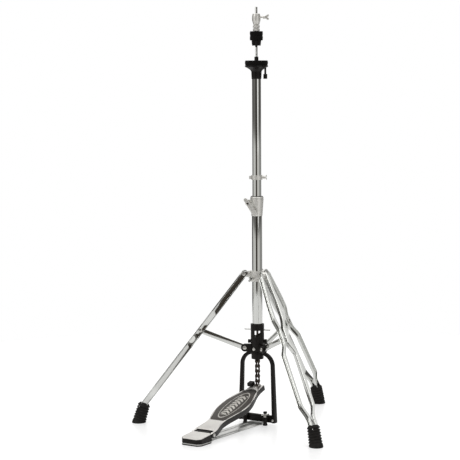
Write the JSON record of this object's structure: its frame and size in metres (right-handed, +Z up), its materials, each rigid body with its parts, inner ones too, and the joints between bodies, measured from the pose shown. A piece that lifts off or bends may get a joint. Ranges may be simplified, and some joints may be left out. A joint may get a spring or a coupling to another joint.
{
  "type": "hi-hat stand",
  "caption": "Folding tripod hi-hat stand with telescopic column, pull rod and clutch, tilting cymbal seat and a chain-driven footboard.",
  "frame": {"origin": "the column's axis where it meets the floor, on the underside of the base's rubber pad", "axes": "+Z up the column, -Y from the column towards the heel of the pedal, +X to the pedal's right seen from its heel"},
  "size_m": [0.5619, 0.6249, 1.0509],
  "materials": {
    "chrome": "polished chrome plate",
    "bright_steel": "zinc-plated steel",
    "dark_steel": "oil-blackened steel",
    "black_casting": "gloss black powder coat",
    "board_casting": "satin cast aluminium",
    "plate": "satin rolled plate",
    "rubber": "moulded rubber",
    "felt": "pressed wool felt",
    "black_plastic": "moulded nylon",
    "inset_plastic": "printed hard plastic"
  },
  "bodies": {
    "base": {"lower_tube": "chrome", "height_clamp": "chrome", "clamp_bush": "black_plastic", "clamp_bolt": "chrome", "hub_casting": "black_casting", "frame_bolts": "bright_steel", "brace_pins": "bright_steel", "yoke": "black_casting", "crossbar": "black_casting", "base_plate": "plate", "rubber_pads": "rubber", "heel_block": "black_casting", "heel_plate": "plate", "hinge_pin": "bright_steel", "return_spring": "dark_steel"},
    "tension_seat": {"spring_seat": "dark_steel"},
    "tension_pin": {"tension_pin": "chrome"},
    "upper_column": {"upper_tube": "chrome", "seat_cup": "black_casting", "seat_sleeve": "black_casting"},
    "cymbal_seat": {"seat_disc": "black_plastic", "seat_felt": "felt"},
    "tilt_tip": {"tilt_tip": "black_plastic"},
    "tilt_knob": {"tilt_knob": "black_casting"},
    "memory_lock": {"memory_lock": "chrome"},
    "memory_screw": {"memory_screw": "chrome"},
    "clamp_lever": {"clamp_lever": "chrome"},
    "leg_collar": {"leg_collar": "chrome", "leg_pins": "bright_steel"},
    "collar_screw": {"collar_screw": "chrome"},
    "left_leg": {"left_leg_strip_a": "chrome", "left_leg_strip_b": "chrome", "left_leg_rivets": "bright_steel", "left_boot": "rubber"},
    "right_leg": {"right_leg_strip_a": "chrome", "right_leg_strip_b": "chrome", "right_leg_rivets": "bright_steel", "right_boot": "rubber"},
    "rear_leg": {"rear_leg_strip_a": "chrome", "rear_leg_strip_b": "chrome", "rear_leg_rivets": "bright_steel", "rear_boot": "rubber"},
    "left_brace": {"left_brace": "chrome"},
    "right_brace": {"right_brace": "chrome"},
    "rear_brace": {"rear_brace": "chrome"},
    "left_spur": {"left_spur": "bright_steel"},
    "right_spur": {"right_spur": "bright_steel"},
    "pedal": {"footboard": "board_casting", "footboard_inset": "inset_plastic", "toe_block": "black_plastic", "chain_anchor": "bright_steel"},
    "pull_rod": {"pull_rod": "chrome", "spring_link": "dark_steel", "spring_retainer": "dark_steel"},
    "chain": {"chain": "dark_steel"},
    "clutch": {"clutch_body": "chrome", "clutch_sleeve": "chrome", "clutch_nuts": "chrome", "clutch_felts": "felt"},
    "clutch_screw": {"clutch_screw": "chrome"}
  },
  "joints": [
    {"name": "leg_collar_slide", "type": "slide", "parent": "base", "child": "leg_collar", "axis": [0, 0, 1], "range_m": [0, 0.1]},
    {"name": "collar_screw_turn", "type": "hinge", "parent": "leg_collar", "child": "collar_screw", "pos_m": [0, -0.03, 0.3741], "axis": [0, -1, 0], "range_deg": [0, 180]},
    {"name": "left_leg_fold", "type": "hinge", "parent": "leg_collar", "child": "left_leg", "pos_m": [-0.02858, -0.0165, 0.3831], "axis": [0.5, -0.866, 0], "range_deg": [0, 23.32]},
    {"name": "right_leg_fold", "type": "hinge", "parent": "leg_collar", "child": "right_leg", "pos_m": [0.02858, -0.0165, 0.3831], "axis": [0.5, 0.866, 0], "range_deg": [0, 23.32]},
    {"name": "rear_leg_fold", "type": "hinge", "parent": "leg_collar", "child": "rear_leg", "pos_m": [0, 0.033, 0.3831], "axis": [-1, 0, 0], "range_deg": [0, 23.32]},
    {"name": "left_brace_fold", "type": "hinge", "parent": "base", "child": "left_brace", "pos_m": [-0.02771, -0.016, 0.195], "axis": [-0.5, 0.866, 0], "range_deg": [0, 46.65]},
    {"name": "right_brace_fold", "type": "hinge", "parent": "base", "child": "right_brace", "pos_m": [0.02771, -0.016, 0.195], "axis": [-0.5, -0.866, 0], "range_deg": [0, 46.65]},
    {"name": "rear_brace_fold", "type": "hinge", "parent": "base", "child": "rear_brace", "pos_m": [0, 0.032, 0.195], "axis": [1, 0, 0], "range_deg": [0, 46.65]},
    {"name": "height_slide", "type": "slide", "parent": "base", "child": "upper_column", "axis": [0, 0, 1], "range_m": [-0.041, 0.015]},
    {"name": "clamp_lever_turn", "type": "hinge", "parent": "base", "child": "clamp_lever", "pos_m": [-0.01905, -0.011, 0.563], "axis": [0.5, -0.866, 0], "range_deg": [-30, 150]},
    {"name": "memory_lock_slide", "type": "slide", "parent": "upper_column", "child": "memory_lock", "axis": [0, 0, 1], "range_m": [0, 0.2]},
    {"name": "memory_screw_turn", "type": "hinge", "parent": "memory_lock", "child": "memory_screw", "pos_m": [0.01559, 0.009, 0.6269], "axis": [0.866, 0.5, 0], "range_deg": [0, 180]},
    {"name": "tilt_knob_turn", "type": "hinge", "parent": "tilt_tip", "child": "tilt_knob", "pos_m": [0.01905, 0.011, 0.88], "axis": [0, 0, 1], "range_deg": [0, 721]},
    {"name": "tilt_tip_lift", "type": "slide", "parent": "upper_column", "child": "tilt_tip", "axis": [0, 0, 1], "range_m": [0, 0.002]},
    {"name": "seat_tilt", "type": "hinge", "parent": "upper_column", "child": "cymbal_seat", "pos_m": [-0.02079, -0.012, 0.9049], "axis": [0.5, -0.866, 0], "range_deg": [0, 2.52]},
    {"name": "tension_set", "type": "slide", "parent": "base", "child": "tension_seat", "axis": [0, 0, 1], "range_m": [-0.006, 0]},
    {"name": "tension_pin_turn", "type": "hinge", "parent": "tension_seat", "child": "tension_pin", "pos_m": [0, 0, 0.241], "axis": [0, 0, 1], "range_deg": [0, 24.01]},
    {"name": "pedal_press", "type": "hinge", "parent": "base", "child": "pedal", "pos_m": [0, -0.243, 0.019], "axis": [1, 0, 0], "range_deg": [-5.6, 0]},
    {"name": "rod_slide", "type": "slide", "parent": "base", "child": "pull_rod", "axis": [0, 0, 1], "range_m": [-0.02456, 0], "stiffness_N_per_m": 1500, "springref_m": 0.02, "deforming": ["return_spring"]},
    {"name": "chain_swing", "type": "hinge", "parent": "pull_rod", "child": "chain", "pos_m": [0, 0, 0.173], "axis": [1, 0, 0], "range_deg": [0, 4.89]},
    {"name": "clutch_slide", "type": "slide", "parent": "pull_rod", "child": "clutch", "axis": [0, 0, 1], "range_m": [0, 0.008]},
    {"name": "clutch_screw_turn", "type": "hinge", "parent": "clutch", "child": "clutch_screw", "pos_m": [0.01212, 0.007, 1.02526], "axis": [0.866, 0.5, 0], "range_deg": [0, 180]},
    {"name": "left_spur_turn", "type": "hinge", "parent": "base", "child": "left_spur", "pos_m": [-0.03, -0.012, 0.02], "axis": [0, 0, 1], "range_deg": [0, 180]},
    {"name": "right_spur_turn", "type": "hinge", "parent": "base", "child": "right_spur", "pos_m": [0.03, -0.012, 0.02], "axis": [0, 0, 1], "range_deg": [0, 180]}
  ],
  "couplings": [
    {"joint": "left_leg_fold", "follows": "leg_collar_slide", "rad_per_m": 4.0686},
    {"joint": "right_leg_fold", "follows": "leg_collar_slide", "rad_per_m": 4.0686},
    {"joint": "rear_leg_fold", "follows": "leg_collar_slide", "rad_per_m": 4.0686},
    {"joint": "left_brace_fold", "follows": "leg_collar_slide", "rad_per_m": 8.1402},
    {"joint": "right_brace_fold", "follows": "leg_collar_slide", "rad_per_m": 8.1402},
    {"joint": "rear_brace_fold", "follows": "leg_collar_slide", "rad_per_m": 8.1402},
    {"joint": "tilt_knob_turn", "follows": "tilt_tip_lift", "rad_per_m": 6283.2},
    {"joint": "seat_tilt", "follows": "tilt_tip_lift", "rad_per_m": 21.739},
    {"joint": "tension_pin_turn", "follows": "tension_set", "rad_per_m": -69.813},
    {"joint": "rod_slide", "follows": "pedal_press", "m_per_rad": 0.24919},
    {"joint": "chain_swing", "follows": "pedal_press", "ratio": -0.86468}
  ]
}
